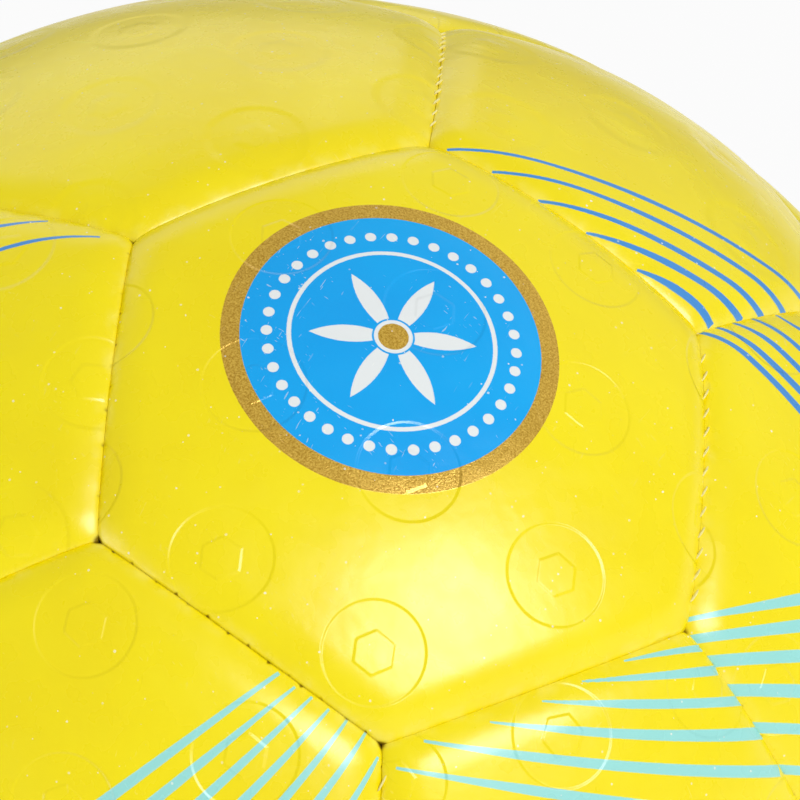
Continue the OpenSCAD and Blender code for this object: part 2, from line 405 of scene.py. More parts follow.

# %% [markdown]
# ## No two seams are pulled alike
# A hand-sewn seam can be shut so tight that nothing shows, or gape a little. Where it gapes, its needle holes
# and corner pits are painted dark as shade, and its bottom gets dirt with painted shade. Each seam gets one
# number for that, from 0 for shut to 1 for open. The seams round the badge follow the photograph, and the
# rest is left to chance.

# %% How far each seam gapes
seen_gape_shares = {
    ("hex_panel_01", "hex_panel_03"): 0.0, ("hex_panel_03", "pent_panel_02"): 0.05,
    ("hex_panel_03", "hex_panel_07"): 0.1, ("hex_panel_03", "pent_panel_05"): 0.05,
    ("hex_panel_03", "hex_panel_06"): 0.6, ("hex_panel_03", "pent_panel_01"): 0.35,
    ("hex_panel_01", "pent_panel_02"): 0.1, ("hex_panel_01", "pent_panel_01"): 0.1,
    ("hex_panel_06", "pent_panel_05"): 0.3, ("hex_panel_06", "pent_panel_01"): 0.2,
    ("hex_panel_07", "pent_panel_02"): 0.1, ("hex_panel_07", "pent_panel_05"): 0.3}


def gape_between(p, q):
    """How open the seam between two panels is: as seen, or a seeded chance that is mostly small."""
    pair = tuple(sorted((panel_names[p], panel_names[q])))
    chance = np.random.default_rng([min(p, q), max(p, q)]).random()
    return seen_gape_shares.get(pair, chance ** 2)


def gape_of_sides(panel):
    """The gape of each side of a panel, in the order of its sides."""
    sides = int(sides_of[panel])
    turn, reach = 2 * np.pi / sides * np.arange(sides), 2 * APOTHEM[sides]
    beyond = np.column_stack([np.sin(reach) * around(turn), np.full(sides, np.cos(reach))])
    neighbours = np.argmax(beyond @ panel_axes[panel] @ middles.T, 1)
    return np.array([gape_between(panel, int(n)) for n in neighbours])


print("the badge panel's sides gape", gape_of_sides(hex_names.index("hex_panel_03")))

# %% [markdown]
# ## The pressed rings
# The cover is pressed with shallow round dishes, about 11 mm across, in a slanting pattern that runs off
# the panels' edges. Only a dish's rim is seen, bright where its wall faces the light and dark on the other
# side. The pattern is one lattice of two steps, read off the middle hexagon, and each panel is cut from the
# sheet at its own turn. In the middle of each dish this ball has a plain raised hexagon.

# %% Rings on a slanting lattice
RING_R, MARK_APOTHEM = 5.65, 2.1
TINY = 1e-12
lattice_steps = np.array([[15.81, -0.79], [10.87, 22.19]])
# panels that were pressed more lightly than the others, so that their rims are softer
press_share = {"hex_panel_01": 0.30, "pent_panel_02": 0.25, "pent_panel_01": 0.7}
# turn in degrees, then the place of one ring in the panel's flat millimetres
seen_lattices = {
    "hex_panel_01": (120, 2.1, -3.9), "hex_panel_03": (0, -7.8, 5.7), "hex_panel_06": (175, -7.5, -4.7),
    "hex_panel_07": (1, 5.7, 10.5), "pent_panel_01": (141, 1.0, -5.3), "pent_panel_02": (4, 4.2, 1.1),
    "pent_panel_05": (52, 2.4, -5.6)}


def unrolled(d):
    """Flat millimetres on a panel: the distance walked from its middle, in the direction it was walked."""
    walked = BALL_R * np.arccos(np.clip(d[:, 2], -1, 1))
    heading = d[:, :2] / (np.linalg.norm(d[:, :2], axis=1, keepdims=True) + TINY)
    return walked[:, None] * heading


def nearest_ring(flat, lattice):
    """Offset of each flat point from the nearest point of the lattice, turned back to the sheet's axes."""
    turn = np.radians(lattice[0])
    spin = np.array([[np.cos(turn), -np.sin(turn)], [np.sin(turn), np.cos(turn)]])
    sheet = (flat - np.array(lattice[1:])) @ spin
    cell = np.floor(np.linalg.solve(lattice_steps, sheet.T)).T
    corners = [cell + np.array(c) for c in ((0, 0), (1, 0), (0, 1), (1, 1))]
    offsets = np.stack([sheet - c @ lattice_steps.T for c in corners])
    best = np.argmin((offsets ** 2).sum(2), 0)
    return offsets[best, np.arange(len(flat))]


def hexagon_outline(p, apothem):
    """Signed distance to a regular hexagon: the largest of its three width directions, less the apothem."""
    return np.abs(p @ around(np.radians([0, 60, 120])).T).max(1) - apothem


def embossing(flat, lattice):
    """Signed distances to the nearest dish's rim and to the hexagon in its middle: below zero inside."""
    offset = nearest_ring(flat, lattice)
    return np.linalg.norm(offset, axis=1) - RING_R, hexagon_outline(offset, MARK_APOTHEM)


ring_steps = np.linalg.norm(lattice_steps, axis=0)
print("rings", 2 * RING_R, "mm across,", [round(float(s), 1) for s in ring_steps], "mm apart")

# %% [markdown]
# ## The printed lines and stripes
# Thin blue lines and broader mint stripes fan out over the panels round the badge. Each is a stretch of a
# circle on the ball, and a circle is where a plane cuts the ball, so three points of the photograph give
# the plane. A thin line would fall between two vertices if only the distance to it were stored. So the mesh
# stores a rank, as a map does with its contour lines: it is 0 on the first line, 1 on the second, and grows
# evenly between them. However wide the grid, a material can draw a sharp line wherever the rank is whole.

# %% Families of lines as cuts of planes
# start, middle and end in the photograph's pixels, the ink's width there in mm, and how far it runs on in mm
blue_lines = {
    "pent_panel_02": [
        (447, 150, 640, 196.5, 800, 297, 0.30, 0.80, 0.80, 1),
        (492, 172, 640, 212.5, 783, 312, 0.30, 0.85, 0.95, 1),
        (538, 201, 655, 238.5, 760, 314, 0.30, 0.95, 1.00, 1),
        (586, 233, 672, 265, 737, 315, 0.30, 1.05, 1.15, 1),
        (637, 270, 675, 288, 707, 318, 0.30, 1.00, 1.10, 1)],
    "hex_panel_07": [
        (776, 315, 788, 322.0, 798, 328, 0.50, 0.70, 0.75, 6),
        (750, 317, 780, 332.5, 798, 347, 0.60, 0.85, 0.95, 8),
        (728, 319, 768, 340, 798, 367.5, 0.50, 1.00, 1.10, 8),
        (706, 320, 755, 347.5, 798, 388.5, 0.50, 1.05, 1.25, 8),
        (690, 327, 745, 354, 798, 407.5, 0.50, 1.00, 1.20, 8)],
    "pent_panel_01": [
        (-60, 240, 0, 226, 48, 221, 0.5, 0.6, 0.3, 0),
        (-60, 275, 20, 244, 100, 237, 0.5, 0.6, 0.3, 0)],
}
mint_stripes = {
    "hex_panel_06": [
        (279, 673, 160, 760, -100, 950, 0.45, 1.03, 2.0, 9),
        (295, 687, 204.5, 760, -30, 948, 0.30, 0.95, 1.9, 9),
        (312, 697, 245.5, 760, 25, 950, 0.30, 0.87, 1.8, 9),
        (329, 709, 282.5, 760, 80, 948, 0.30, 0.78, 1.8, 9),
        (347, 720, 317, 760, 140, 942, 0.30, 0.70, 1.7, 9),
        (366, 732, 348, 760, 210, 926, 0.30, 0.64, 1.6, 9),
        (378, 757, 371, 770, 270, 910, 0.30, 0.52, 1.3, 9)],
    "pent_panel_05": [
        (624, 661, 665, 653, 697, 648.5, 0.2, 0.62, 0.8, 1),
        (582, 681, 630, 678, 700, 672, 0.2, 0.66, 1.1, 3),
        (542, 701, 630, 704, 730, 701.5, 0.2, 1.0, 1.1, 4),
        (490, 722, 580, 731, 730, 735, 0.2, 0.93, 1.38, 6),
        (424, 741, 530, 756.5, 730, 771.5, 0.3, 1.0, 1.32, 8),
        (396, 768, 530, 790, 800, 820, 0.3, 1.08, 1.5, 8)],
    "hex_panel_07": [
        (686, 620, 798, 599.5, 960, 571, 0.5, 1.31, 1.5, 9),
        (682, 641, 798, 626, 965, 606, 1.0, 1.42, 1.7, 9),
        (702, 662, 798, 656, 970, 649, 1.3, 1.42, 1.7, 9),
        (720, 690, 798, 691, 975, 698, 1.3, 1.5, 1.7, 9),
        (742, 727, 798, 729, 975, 738, 1.2, 1.18, 1.4, 9),
        (758, 768, 798, 770.5, 975, 788, 1.05, 1.05, 1.3, 9)],
}
FAR_OFF = 50.0
LEAST_GAP = 0.3


def family_numbers(d, rows, panel):
    """For one family of lines: the rank, half the ink's width as a share of the gap, and mm past the ends.

    s_i is the offset from line i's plane. Between lines i and i + 1 the rank is i + s_i / (s_i - s_i+1).
    How far round its circle a point lies is the circle's radius times atan2(d . forward, d . start)."""
    marks = np.array([[on_skin(row[i:i + 2], panel) for i in (0, 2, 4)] for row in rows])
    first, second, third = marks[:, 0], marks[:, 1], marks[:, 2]
    normal = unit(np.cross(second - first, third - first))
    to_next = np.diff(second, axis=0)
    to_next = np.vstack([to_next, to_next[-1:]])
    normal = normal * np.sign((to_next * normal).sum(1, keepdims=True))
    height = (first * normal).sum(1, keepdims=True)
    off = BALL_R * (np.arcsin(np.clip(d @ normal.T, -1, 1)) - np.arcsin(height.T))
    each = np.arange(len(d))
    before = np.clip((off > 0).sum(1) - 1, 0, len(rows) - 2)
    gap = np.maximum(off[each, before] - off[each, before + 1], LEAST_GAP)
    rank = before + off[each, before] / gap
    line = np.clip(np.round(rank), 0, len(rows) - 1).astype(int)
    start = unit(first - normal * height)
    forward = np.cross(normal, start)
    forward = forward * np.sign((third * forward).sum(1, keepdims=True))
    circle_r = BALL_R * np.sqrt(1 - height[:, 0] ** 2)
    walked = circle_r[line] * np.arctan2((d * forward[line]).sum(1), (d * start[line]).sum(1))
    ends = [circle_r * np.arctan2((v * forward).sum(1), (v * start).sum(1)) for v in (second, third)]
    widths, run_on = np.array([row[6:9] for row in rows]), np.array([row[9] for row in rows])
    to_middle, to_end = ends[0][line], ends[1][line]
    early = widths[line, 0] + (widths[line, 1] - widths[line, 0]) * (walked / to_middle).clip(0, 1)
    late = (widths[line, 2] - widths[line, 1]) * ((walked - to_middle) / (to_end - to_middle)).clip(0, 1)
    past_end = np.maximum(-walked, walked - to_end - run_on[line])
    past_end = np.where(np.abs(rank - line) > 0.5, FAR_OFF, past_end)
    return rank, (early + late) / 2 / gap, past_end


BADGE_PANEL = hex_names.index("hex_panel_03")
twins = [middles[hex_names.index(n)] for n in ("hex_panel_10", "hex_panel_15", "hex_panel_17")]
half_turn_axes = [None] + [unit(middles[BADGE_PANEL] + t) for t in twins]


def half_turned(d, axis):
    """Turns directions by half a turn about an axis: v becomes 2 (v . axis) axis - v."""
    return d if axis is None else 2 * (d @ axis)[..., None] * axis - d


def source_panel(panel, axis):
    """The panel that this one becomes when the ball is given a half turn."""
    return int(np.argmax(middles @ half_turned(middles[panel], axis)))


def printed(world, panel, prints):
    """The three numbers of one colour's family on a panel, from the sheet's print or one of its repeats."""
    for axis in half_turn_axes:
        source = source_panel(panel, axis)
        if panel_names[source] in prints:
            return family_numbers(half_turned(world, axis), prints[panel_names[source]], source)
    return np.outer([0, 0, FAR_OFF], np.ones(len(world)))


print("printed lines", sum(map(len, blue_lines.values())), "stripes", sum(map(len, mint_stripes.values())))

# %% [markdown]
# ## The round badge
# The middle hexagon carries a round badge, 37 mm across: a blue disc inside a gold ring, placed as in the
# photograph. What stands on the disc is plain ornament of this ball's own: a six-petal flower drawn with a
# pair of compasses, a thin circle and a ring of dots. The mesh only stores where each vertex lies on the
# badge, and the material draws the rest, so its curves stay exact.

# %% Place of the badge
BADGE_CENTRE = np.array([7.35, 0.26])
BADGE_UP = np.radians(-26.8)


def badge_places(world, panel):
    """Millimetres across and up from the badge's centre, on the badge's panel and on its three twins."""
    for axis in half_turn_axes:
        if source_panel(panel, axis) == BADGE_PANEL:
            flat = unrolled(half_turned(world, axis) @ panel_axes[BADGE_PANEL].T) - BADGE_CENTRE
            return flat @ around(BADGE_UP - np.pi / 2), flat @ around(BADGE_UP)
    return np.full((2, len(world)), FAR_OFF)


print("panels with a badge:", [panel_names[source_panel(BADGE_PANEL, axis)] for axis in half_turn_axes])

# %% [markdown]
# ## From points and faces to a mesh
# A mesh is three lists: where the points are, which points each face joins, and where each face starts in
# that list. Filling them from arrays is far quicker than adding faces one by one. A number for each vertex
# can be stored beside them, for a material to read.

# %% Mesh helpers
def fill_mesh(name, points, quads, triangles=()):
    """Makes an object from points in mm and faces given as rows of vertex numbers, shaded smooth."""
    mesh = bpy.data.meshes.new(name)
    triangles = np.asarray(triangles, int).reshape(-1, 3)
    corners = np.concatenate([np.asarray(quads, int).ravel(), triangles.ravel()])
    totals = np.concatenate([np.full(len(quads), 4), np.full(len(triangles), 3)])
    mesh.vertices.add(len(points))
    mesh.vertices.foreach_set("co", (np.asarray(points) * MM).astype(np.float32).ravel())
    mesh.loops.add(len(corners))
    mesh.loops.foreach_set("vertex_index", corners.astype(np.int32))
    mesh.polygons.add(len(totals))
    mesh.polygons.foreach_set("loop_start", (np.cumsum(totals) - totals).astype(np.int32))
    mesh.polygons.foreach_set("use_smooth", np.ones(len(totals), bool))
    mesh.update(calc_edges=True)
    piece = bpy.data.objects.new(name, mesh)
    bpy.context.scene.collection.objects.link(piece)
    return piece


def keep_attribute(piece, name, values):
    """Stores one number for each vertex under a name that a material can read."""
    attribute = piece.data.attributes.new(name, "FLOAT", "POINT")
    attribute.data.foreach_set("value", np.asarray(values, np.float32))


def direction_on(flat):
    """Direction in the panel's axes of a point on the flat plane that touches the ball: unit (x, y, 1)."""
    return unit(np.column_stack([flat, np.ones(len(flat))]))


def bridge(lower, upper):
    """Faces between two closed rings of the same number of vertices."""
    low, high = np.append(lower, lower[0]), np.append(upper, upper[0])
    return np.stack([low[:-1], low[1:], high[1:], high[:-1]], 1)


print("two rings of three are joined by", len(bridge([0, 1, 2], [3, 4, 5])), "faces")

# %% [markdown]
# ## From the flat plane to a closed panel
# A panel is a sheet of cover, not a solid block: it has an outer face, walls that turn in along the seam
# down to the sewn edge, the sheet's thickness there, and an inner face. The outline's rings are copied
# inwards to make the walls and the inner face, so the mesh stays closed all round.

# %% Panel shell
INNER_RING_SHARES = (0.66, 0.33)


def under_cover(flat):
    """Points of the inner face, COVER_T below the bulge."""
    d = direction_on(flat)
    return d * (bulge(d[:, 2]) - COVER_T)[:, None]


def shell_rings(sides, outline_flat, hole_flat=None):
    """Rings from the outer face's edge down the wall, across the sewn edge and over the inner face."""
    inset = 1 - COVER_T / (BALL_R * np.sin(APOTHEM[sides]) * np.cos(APOTHEM[sides]))
    inner_flat = outline_flat * inset
    middle_flat = 0 if hole_flat is None else hole_flat
    rings = [direction_on(flat) * FLANGE_TIP_R for flat in (outline_flat, inner_flat)]
    rings.append(under_cover(inner_flat))
    rings += [under_cover(inner_flat * share + middle_flat * (1 - share)) for share in INNER_RING_SHARES]
    return rings if hole_flat is None else rings + [under_cover(hole_flat)]


def closed_panel(sides, flat, faces, outline, radius, hole=None):
    """Points and faces of the closed sheet: the outer face, the wall rings, and a cap or the valve's hole."""
    points = [direction_on(flat) * radius[:, None]]
    quads, last, count = [faces], outline, len(flat)
    for ring in shell_rings(sides, flat[outline], None if hole is None else flat[hole]):
        number = count + np.arange(len(ring))
        quads.append(bridge(number, last))
        points.append(ring)
        last, count = number, count + len(ring)
    triangles = np.zeros((0, 3), int)
    if hole is None:
        points.append(np.array([[0, 0, BALL_R - COVER_T]]))
        triangles = np.stack([last, np.roll(last, -1), np.full(len(last), count)], 1)[:, ::-1]
    else:
        quads.append(bridge(hole, last))
    return np.vstack(points), np.vstack(quads), triangles


print("rings over the inner face:", len(INNER_RING_SHARES))

# %% [markdown]
# ## Sums that build a graph
# A material in Blender is a graph of small nodes, and a formula takes many of them. So a number in the
# graph gets the signs of arithmetic here: writing a * b + c adds the Math nodes for it. The other helpers
# add one node each and fill its sockets.

# %% Material helpers
def put(tree, kind, settings=None, **sockets):
    """Adds a node, sets its properties, and fills or links its sockets.

    A socket goes by its name, with underscores for spaces, or by n and its number."""
    item = tree.nodes.new(kind)
    for key, value in (settings or {}).items():
        setattr(item, key, value)
    for key, value in sockets.items():
        socket = item.inputs[int(key[1:]) if key[1:].isdigit() else key.replace("_", " ")]
        value = getattr(value, "socket", value)
        if isinstance(value, bpy.types.NodeSocket):
            tree.links.new(value, socket)
        else:
            socket.default_value = value
    return item


class Number:
    """A number that some node of a graph puts out. Sums with it add Math nodes to the same graph."""

    def __init__(self, socket):
        self.socket, self.tree = socket, socket.id_data

    def __add__(self, other):
        return math_node("ADD", self, other)

    def __sub__(self, other):
        return math_node("SUBTRACT", self, other)

    def __rsub__(self, other):
        return math_node("SUBTRACT", other, self)

    def __mul__(self, other):
        return math_node("MULTIPLY", self, other)


def math_node(operation, *terms):
    """The result of one Math node. At least one of its terms is a Number of the graph."""
    tree = next(term.tree for term in terms if isinstance(term, Number))
    sockets = {"n" + str(i): term for i, term in enumerate(terms)}
    return Number(put(tree, "ShaderNodeMath", {"operation": operation}, **sockets).outputs[0])


def ramp(value, low, high, to_low=0.0, to_high=1.0):
    """A smooth step from to_low to to_high as value goes from low to high."""
    item = put(value.tree, "ShaderNodeMapRange", {"interpolation_type": "SMOOTHSTEP"}, Value=value,
               From_Min=low, From_Max=high, To_Min=to_low, To_Max=to_high)
    return Number(item.outputs[0])


def noise(where, per_mm, detail=2.0, roughness=0.5):
    """Noise with so many cells per millimetre, between 0 and 1."""
    item = put(where.id_data, "ShaderNodeTexNoise", None,
               Vector=where, Scale=per_mm / MM, Detail=detail, Roughness=roughness)
    return Number(item.outputs[0])


def voronoi(where, per_mm, output="Distance", feature="F1"):
    """What a Voronoi texture says: by default, how far it is to the middle of the nearest cell."""
    item = put(where.id_data, "ShaderNodeTexVoronoi", {"feature": feature}, Vector=where, Scale=per_mm / MM)
    return Number(item.outputs[output])


def stretched(where, scale, rotation):
    """The same places scaled along the object's axes and then turned: a small scale draws a pattern out."""
    item = put(where.id_data, "ShaderNodeMapping", None, Vector=where, Scale=scale, Rotation=rotation)
    return item.outputs[0]


def mixed(share, first, second):
    """Goes from the first colour to the second as share goes from 0 to 1."""
    return put(share.tree, "ShaderNodeMix", {"data_type": "RGBA"}, n0=share, n6=first, n7=second).outputs[2]


def object_points(tree):
    """Where on the object a point lies, which is what every pattern hangs on."""
    return put(tree, "ShaderNodeTexCoord").outputs["Object"]


def new_material(name):
    """An empty node material, and its graph."""
    material = bpy.data.materials.new(name)
    material.use_nodes = True
    tree = material.node_tree
    tree.nodes.clear()
    return material, tree


def finish_graph(tree, relief_mm, height, **sockets):
    """Ends a graph: bump from a height of so many millimetres, the shader, and the material's output."""
    bump = put(tree, "ShaderNodeBump", None, Distance=relief_mm * MM, Height=height).outputs[0]
    shader = put(tree, "ShaderNodeBsdfPrincipled", None, Normal=bump, **sockets)
    put(tree, "ShaderNodeOutputMaterial", None, Surface=shader.outputs[0])


def paint(red, green, blue):
    """A colour as it is read off a screen, 0 to 255, turned into the light that Blender works with.

    This is the sRGB rule: ((c + 0.055) / 1.055)^2.4, with a straight stretch near black."""
    c = np.array([red, green, blue]) / 255
    return tuple(np.where(c > 0.04045, ((c + 0.055) / 1.055) ** 2.4, c / 12.92)) + (1.0,)


print("saffron yellow in light:", [round(float(v), 3) for v in paint(247, 225, 10)])

# %% [markdown]
# ## Ink from numbers on the mesh
# Three small rules turn the stored numbers into inks. A signed distance becomes ink that is solid below
# zero and soft at its edge. A rank becomes the distance to the nearest whole number, which is the nearest
# line. And the badge is drawn with circles: fold the whole turn into one sixth, and a petal is what two
# discs share.

# %% Ink rules
INK_SOFT, INK_RAGGED, RAGGED_PER_MM = 0.05, 0.03, 3.0
BLUE_GAP, MINT_GAP = 2.2, 3.2
GOLD_R, DISC_R = 18.7, 16.6
PETALS, PETAL_R, PETAL_GAP = 6, 9.6, 0.22
CIRCLE_R, CIRCLE_W = 11.3, 0.5
DOTS, DOTS_R, DOT_R = 36, 13.7, 0.62
HUB_R, HUB_W = 1.9, 0.45


def read(tree, name):
    """A number stored on the mesh."""
    return Number(put(tree, "ShaderNodeAttribute", {"attribute_name": name}).outputs["Fac"])


def inked(distance, where):
    """Share of ink from a signed distance in mm, with an edge that wanders a little."""
    wander = noise(where, RAGGED_PER_MM) * (2 * INK_RAGGED) - INK_RAGGED
    return ramp(distance + wander, INK_SOFT, -INK_SOFT)


def line_distance(tree, colour, gap):
    """Distance to the nearest line: the rank's way to a whole number, less the ink's half, times the gap."""
    off = math_node("PINGPONG", read(tree, colour + "_rank"), 0.5)
    return math_node("MAXIMUM", (off - read(tree, colour + "_share")) * gap, read(tree, colour + "_end"))


def hypot(a, b):
    """Square root of a squared plus b squared."""
    return math_node("SQRT", a * a + b * b)


def band(radius, middle, width):
    """Signed distance to a circle's line of the given width."""
    return math_node("ABSOLUTE", radius - middle) - width / 2


def folded(radius, angle, count):
    """Coordinates inside one of count equal sectors, measured along its middle line and off it."""
    turn = math_node("WRAP", angle, np.pi / count, -np.pi / count)
    return radius * math_node("COSINE", turn), math_node("ABSOLUTE", radius * math_node("SINE", turn))


def badge_white(across, upward, radius):
    """Signed distance to the white ornament: petals, thin circle, dots and the circle round the hub."""
    angle = math_node("ARCTAN2", upward, across)
    along, off = folded(radius, angle, PETALS)
    lens = hypot(along - PETAL_R / 2, off + PETAL_R * 3 ** 0.5 / 2) - (PETAL_R - PETAL_GAP)
    petals = math_node("MAXIMUM", lens, HUB_R + HUB_W - radius)
    along, off = folded(radius, angle, DOTS)
    dots = hypot(along - DOTS_R, off) - DOT_R
    rings = math_node("MINIMUM", band(radius, CIRCLE_R, CIRCLE_W), band(radius, HUB_R, HUB_W))
    return math_node("MINIMUM", math_node("MINIMUM", petals, dots), rings)


print("badge", 2 * GOLD_R, "mm across, disc", 2 * DISC_R, "mm,", PETALS, "petals and", DOTS, "dots")

# %% [markdown]
# ## The cover: soft yellow polyurethane with ink on it
# The cover is a thin foamed skin with a soft gloss. Close up it has a very fine leather grain, faint
# cloudiness in the yellow, pale dust, hairline scratches, a pale edge along the seams that is wear and
# painted sheen, and dirt with painted shade at the bottom of the seams. The ink is laid over that in order:
# mint, blue, gold, disc, white. It is a little glossier than the bare skin, and the gold is grainy foil.
# The rings are pressed after printing, so their relief runs through every ink.

# %% Cover colours
YELLOW, DEEP_YELLOW = paint(254, 235, 0), paint(249, 227, 0)
GRAIN_YELLOW, PALE_YELLOW = paint(255, 240, 20), paint(255, 242, 110)
MINT, LINE_BLUE, WHITE = paint(158, 228, 222), paint(70, 148, 222), paint(238, 243, 243)
DISC_BLUE, DISC_DEEP = paint(0, 176, 250), paint(0, 167, 245)
GOLD_DEEP, GOLD_PALE = paint(184, 138, 28), paint(248, 206, 88)
# painted shade: brown dirt with painted shade at the bottom of open seams, and near-black in the needle holes
# and corner pits
SEAM_DIRT_AND_SHADE, HOLE_SHADE, DUST = paint(150, 122, 8), paint(34, 28, 12), paint(255, 254, 240)
# how many cells a pattern has in a millimetre, and between which of its values it fades in
CLOUD_PER_MM, GRAIN_PER_MM, FOIL_PER_MM, WEAR_AND_SHEEN_PER_MM = 0.05, 4.0, 5.0, 0.35
CLOUDY, GRAINY, FOILED, WEAR_AND_SHEEN_FADE = (0.3, 0.7), (0.45, 0.85), (0.22, 0.78), (0.42, 0.7)
# a pale edge along the seams, partly wear and partly painted sheen where the rolled edge catches the light:
# its start and end in mm from the seam, and its largest share
EDGE_WEAR_AND_SHEEN_MM, EDGE_WEAR_AND_SHEEN_SHARE, GRAIN_SHARE = (1.6, 0.2), 0.45, 0.15

cover, tree = new_material("yellow_cover")
where = object_points(tree)
cloud = noise(where, CLOUD_PER_MM, detail=4.0)
grain = noise(where, GRAIN_PER_MM, detail=1.0)
foil = ramp(noise(where, FOIL_PER_MM, roughness=0.6), *FOILED)
colour = mixed(ramp(cloud, *CLOUDY), DEEP_YELLOW, YELLOW)
colour = mixed(ramp(grain, *GRAINY, 0.0, GRAIN_SHARE), colour, GRAIN_YELLOW)
# painted sheen and wear: paler patches within 1.6 mm of each seam, where the rolled edge catches the light
edge_wear_and_sheen = ramp(read(tree, "seam_mm"), *EDGE_WEAR_AND_SHEEN_MM, 0.0, EDGE_WEAR_AND_SHEEN_SHARE)
wear_and_sheen_patches = ramp(noise(where, WEAR_AND_SHEEN_PER_MM, detail=3.0), *WEAR_AND_SHEEN_FADE)
colour = mixed(edge_wear_and_sheen * wear_and_sheen_patches, colour, PALE_YELLOW)
print("yellow base:", len(tree.nodes), "nodes")

# %% [markdown]
# Each ink covers the one before it. The share of gold that is still bare is kept, because foil shines like
# metal.

# %% Inks on the cover
across, upward = read(tree, "badge_x"), read(tree, "badge_y")
radius = hypot(across, upward)
gold_ring, disc, hub = (inked(radius - r, where) for r in (GOLD_R, DISC_R, HUB_R))
white = inked(badge_white(across, upward, radius), where)
mint = inked(line_distance(tree, "mint", MINT_GAP), where)
blue = inked(line_distance(tree, "blue", BLUE_GAP), where)
gold_tone = mixed(foil, GOLD_DEEP, GOLD_PALE)
disc_tone = mixed(ramp(cloud, *CLOUDY), DISC_DEEP, DISC_BLUE)
ink_order = ((mint, MINT), (blue, LINE_BLUE), (gold_ring, gold_tone), (disc, disc_tone), (hub, gold_tone),
             (white, WHITE))
for ink, tone in ink_order:
    colour = mixed(ink, colour, tone)
bare_gold = math_node("MAXIMUM", gold_ring - disc, hub) * (1.0 - white)
print("with its inks:", len(tree.nodes), "nodes")

# %% [markdown]
# Wear comes last, and the painted shade of the seams with it. Dust sits in the cells of a Voronoi texture,
# each speck with a size of its own. A scratch is a noise drawn out in one direction, of which only the very
# peaks are kept. The dirt with painted shade along the seams and the painted shade of the needle holes and
# corner pits are one stored number, brown where it is small and nearly black where it is large.

# %% Dust, scratches, seam dirt and painted shade
SPECK_CELLS_PER_MM, SPECK_LARGEST, SPECKLED = 1.0, 0.14, (0.55, 1.0)
SPECK_RAGGED, SPECK_RAGGED_PER_MM = 0.20, 2.5
SPECK_LEAST_SHARE, SPECK_MORE_SHARE = 0.25, 0.55
HAIR_PER_MM, HAIRS = 4.0, (0.71, 0.76)
# the scale of each set of hairlines along x, y and z, and its turns in radians
hair_sets = (((1.0, 0.04, 0.3), (0.5, 0.9, 0.3)), ((0.3, 1.0, 0.04), (0.2, 0.4, 1.1)))
SCUFF_PER_MM, SCUFFED = 0.12, (0.48, 0.60)
SKIN_SCRATCH_SHARE, DISC_SCRATCH_SHARE = 0.05, 0.27
SEAM_DIRT_AND_SHADE_RANGE, HOLE_SHADE_RANGE = (0.02, 0.45), (0.50, 0.95)

# each cell has a colour by chance, and its red and green say how large and how strong the speck is
chance = put(tree, "ShaderNodeSeparateColor", None, Color=voronoi(where, SPECK_CELLS_PER_MM, "Color"))
size, strength = Number(chance.outputs[0]), Number(chance.outputs[1])
wander = noise(where, SPECK_RAGGED_PER_MM) * SPECK_RAGGED - SPECK_RAGGED / 2
reach = ramp(size, *SPECKLED, 0.0, SPECK_LARGEST)
speck = math_node("LESS_THAN", voronoi(where, SPECK_CELLS_PER_MM) + wander, reach)
colour = mixed(speck * (strength * SPECK_MORE_SHARE + SPECK_LEAST_SHARE), colour, DUST)
hairlines = [ramp(noise(stretched(where, *hairs), HAIR_PER_MM, detail=1.0), *HAIRS) for hairs in hair_sets]
scratch = math_node("MAXIMUM", *hairlines) * ramp(noise(where, SCUFF_PER_MM), *SCUFFED)
colour = mixed(scratch * (disc * DISC_SCRATCH_SHARE + SKIN_SCRATCH_SHARE), colour, DUST)
# painted shade: brown dirt with painted shade where the stored number is small, near-black painted shade in
# holes and corner pits where it is large
dark = read(tree, "dark")
colour = mixed(ramp(dark, *SEAM_DIRT_AND_SHADE_RANGE), colour, SEAM_DIRT_AND_SHADE)
colour = mixed(ramp(dark, *HOLE_SHADE_RANGE), colour, HOLE_SHADE)
print("with its wear:", len(tree.nodes), "nodes")

# %% [markdown]
# The relief is a height in millimetres: leather grain, soft dents, the pressed dishes with their raised
# hexagons and the grain of the foil. Its slopes are what the light sees.

# %% Relief and gloss
RIM_HALF, DISH_DEPTH = 0.21, 0.10
MARK_HALF, MARK_RISE = 0.20, 0.075
GRAIN_RISE, CELLS_RISE, DENTS_RISE, CREASES_RISE, FOIL_RISE = 0.0025, 0.0015, 0.04, 0.03, 0.012
CELLS_PER_MM, CELL_WALL, DENTS_PER_MM, CREASES_PER_MM = 2.2, 0.35, 0.35, 0.5
CREASES_SCALE, CREASES_TURNS = (1.0, 1.0, 0.25), (0.4, 0.2, 0.0)
GLOSS_PER_MM, LEAST_ROUGH, MOST_ROUGH, SCRATCH_ROUGH, INK_ROUGH = 0.25, 0.25, 0.32, 0.1, -0.05
GOLD_METAL_SHARE, COVER_SPECULAR = 0.35, 0.60

